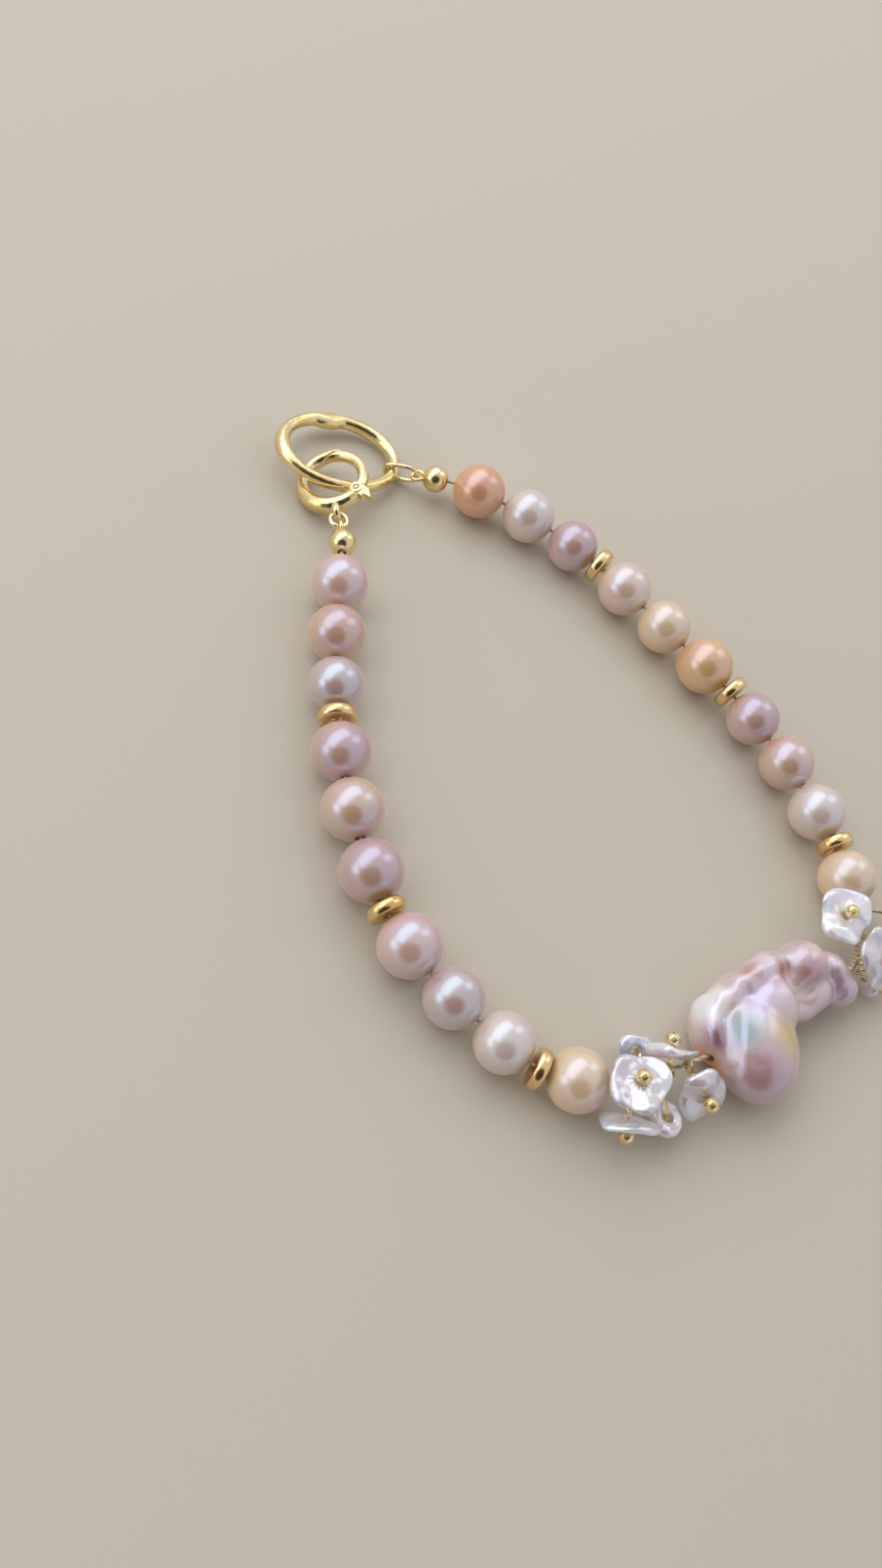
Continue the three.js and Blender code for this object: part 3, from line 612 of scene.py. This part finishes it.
def baroqueMaterial():
    look = baroquePearl
    material, tree, shader = newMaterial("baroqueNacre")
    place = ownPlace(tree, baroqueMiddle, mm)
    clouds = ramp(tree, noise(tree, place, look["clouds"], detail=3), look["cloudEdge"])
    colour = mixColours(tree, clouds, paint(look["body"]), paint(look["blush"]))
    # the spots mix in tints of the nacre, two painted highlights and a painted reflection
    for spot in look["tintAndLightSpots"]:
        shares = {0: patch(tree, place, spot), 1: spot["weight"]}
        weight = addNode(tree, "ShaderNodeMath", shares, operation="MULTIPLY").outputs[0]
        colour = mixColours(tree, weight, colour, paint(spot["colour"]))
    colourOf(tree, shader, colour)
    bumpOf(tree, shader, noise(tree, place, look["grain"], detail=5), look["bump"], look["bumpDepth"])
    shader.inputs["Roughness"].default_value = look["roughness"]
    setNacre(shader, look["look"], look["gloss"])
    return material


baroque = makeLobes(baroquePearl["lobes"])
baroque.name = "baroque_pearl_nacre"
melt(baroque, baroquePearl)
for crease in baroquePearl["creases"]:
    down = (0, 0, -crease["depth"] * mm)
    pushWhere(baroque, lambda co: nearLine(co, crease["from"], crease["to"]), down, crease["reach"] * mm)
soften(baroque, baroquePearl["smooth"])
bpy.ops.mesh.primitive_cylinder_add(vertices=24, radius=baroquePearl["bore"], depth=baroquePearl["boreLength"])
bore = bpy.context.object
boreTurn = math.radians(baroquePearl["boreTurn"])
boreAxis = (math.cos(boreTurn), math.sin(boreTurn), 0)
bore.matrix_world = Matrix.Translation(Vector(baroquePearl["boreAt"]) * mm) @ turnTo(boreAxis)
settle(bore)
cutOrJoin(baroque, bore, "DIFFERENCE")
smoothShade(baroque, angle=50)
finishPiece(baroque, baroqueMaterial(), ["baroque_pearl"])
print("baroque pearl made")

# keshi petals and the ball-headed pins that hold them
petals = {
    "left": ["silver", "white", "silver", "white", "blue", "white"],
    "right": ["white", "silver", "white", "silver", "white"],
    "tones": {
        "silver": {"body": "dcd6d6", "shade": "c8bec8", "glint": "cfdde8"},
        "white": {"body": "fbf6f6", "shade": "ece4ee", "glint": "dcecfa"},
        "blue": {"body": "e6eefa", "shade": "d8dcf2", "glint": "bcdcf2"},
    },
    "clouds": 380, "cloudEdge": (0.42, 0.58), "glints": 620, "glintEdge": (0.56, 0.7),
    "waves": 700, "wobble": 0.8, "bump": 0.2, "bumpDepth": 0.25 * mm, "roughness": 0.17, "gloss": "eef0ff",
    "relief": 0.8 * mm, "ripple": 2.2 * mm, "clear": 0.03 * mm, "liftReach": 1.2 * mm,
}
pinShape = {"voxel": 0.06 * mm, "smooth": 8}


def petalMaterial(name):
    look, tone = petals, petals["tones"][name]
    material, tree, shader = newMaterial(name + "Petal")
    place = objectPlace(tree)
    clouds = ramp(tree, noise(tree, place, look["clouds"], detail=3), look["cloudEdge"])
    glints = ramp(tree, noise(tree, place, look["glints"], detail=2), look["glintEdge"])
    colour = mixColours(tree, clouds, paint(tone["body"]), paint(tone["shade"]))
    colourOf(tree, shader, mixColours(tree, glints, colour, paint(tone["glint"])))
    waves = noise(tree, place, look["waves"], detail=2, distortion=look["wobble"])
    bumpOf(tree, shader, waves, look["bump"], look["bumpDepth"])
    shader.inputs["Roughness"].default_value = look["roughness"]
    setNacre(shader, nacreLook, look["gloss"])
    return material


def liftLowEdge(petal):
    lowest = min(vertex.co.z for vertex in petal.data.vertices)
    rise = petals["clear"] - lowest
    if rise > 0:  # it would dip into the surface that the bracelet lies on
        pushWhere(petal, lambda co: co.z < lowest + rise, (0, 0, rise), petals["liftReach"])


petalRelief = bpy.data.textures.new("petalRelief", "CLOUDS")
petalRelief.noise_scale = petals["ripple"]
petalRelief.noise_depth = 0
petalNacres = {name: petalMaterial(name) for name in petals["tones"]}
for side in sides:
    for k, tone in enumerate(petals[side], 1):
        petal = copyOfNode(f"petal_{side}_{k}", f"petal_{side}_{k}_nacre")
        subdivide(petal, 3)
        relief = petals["relief"]
        applyModifier(petal, "DISPLACE", texture=petalRelief, texture_coords="GLOBAL", strength=relief)
        liftLowEdge(petal)
        smoothShade(petal)
        finishPiece(petal, petalNacres[tone], [f"petal_{side}_{k}"])
        pin = copyOfNode(f"pin_{side}_{k}", f"pin_{side}_{k}_gold")
        melt(pin, pinShape)
        smoothShade(pin)
        finishPiece(pin, paleGold, [f"pin_{side}_{k}"])
print("petals and pins made")

# floor, sky and lights
studio = {
    "floor": "cbc4b5", "floorRoughness": 0.8, "floorSize": 1.6,
    "sky": "f3f1f2", "skyPower": 0.8,
    "shade": "4b443f", "shadeFrom": (-0.54, -0.5, 0.68), "shadeEdge": (0.72, 0.89),
    "lights": [
        {"name": "window", "from": (-0.04, 0.29, 0.38), "size": (0.86, 0.36), "power": 1.35, "colour": "fbfdff"},
        {"name": "side", "from": (-0.40, 0.16, 0.15), "size": (0.2, 0.16), "power": 0.15, "colour": "fffdf8"},
        {"name": "right", "from": (0.34, 0.02, 0.30), "size": (0.16, 0.26), "power": 0.14, "colour": "fff8ee"},
    ],
}
bpy.ops.mesh.primitive_plane_add(size=studio["floorSize"])
floor = bpy.context.object
floor.name = "floor"
floorMaterial, floorTree, floorShader = newMaterial("paleFloor")
floorShader.inputs["Base Color"].default_value = paint(studio["floor"])
floorShader.inputs["Roughness"].default_value = studio["floorRoughness"]
floor.data.materials.append(floorMaterial)

# the sky is pale all round, with a dark part whose reflection makes the pearls' dark cores
world = bpy.data.worlds.new("studio")
bpy.context.scene.world = world
world.use_nodes = True
sky = world.node_tree
ray = addNode(sky, "ShaderNodeTexCoord", {}).outputs["Generated"]
facing = addNode(sky, "ShaderNodeVectorMath", {0: ray, 1: studio["shadeFrom"]}, operation="DOT_PRODUCT")
darker = ramp(sky, facing.outputs["Value"], studio["shadeEdge"])
skyColour = mixColours(sky, darker, paint(studio["sky"]), paint(studio["shade"]))
sky.links.new(skyColour, sky.nodes["Background"].inputs["Color"])
sky.nodes["Background"].inputs["Strength"].default_value = studio["skyPower"]

for light in studio["lights"]:
    bpy.ops.object.light_add(type="AREA", location=light["from"])
    lamp = bpy.context.object
    lamp.name = lamp.data.name = light["name"]
    lamp.data.shape = "RECTANGLE"
    lamp.data.size, lamp.data.size_y = light["size"]
    lamp.data.energy = light["power"]
    lamp.data.color = paint(light["colour"])[:3]
    lamp.rotation_euler = (-Vector(light["from"])).to_track_quat("-Z", "Y").to_euler()

# camera, where the photo was taken from
camera = {
    "at": (-71.036, -35.749, 111.861),
    "right": (0.79928, -0.54153, 0.26055),
    "up": (0.39148, 0.79815, 0.45793),
    "forward": (0.45594, 0.26401, -0.84995),
    "lens": 28.8, "sensor": 36, "nearest": 5 * mm,
}
bpy.ops.object.camera_add()
viewer = bpy.context.object
viewer.data.lens = camera["lens"]
viewer.data.sensor_width = camera["sensor"]
viewer.data.clip_start = camera["nearest"]
turn = Matrix((camera["right"], camera["up"], [-v for v in camera["forward"]])).transposed().to_4x4()
viewer.matrix_world = Matrix.Translation(Vector(camera["at"]) * mm) @ turn
bpy.context.scene.camera = viewer
bpy.context.scene.view_settings.view_transform = "Standard"
print("floor, lights and camera set")
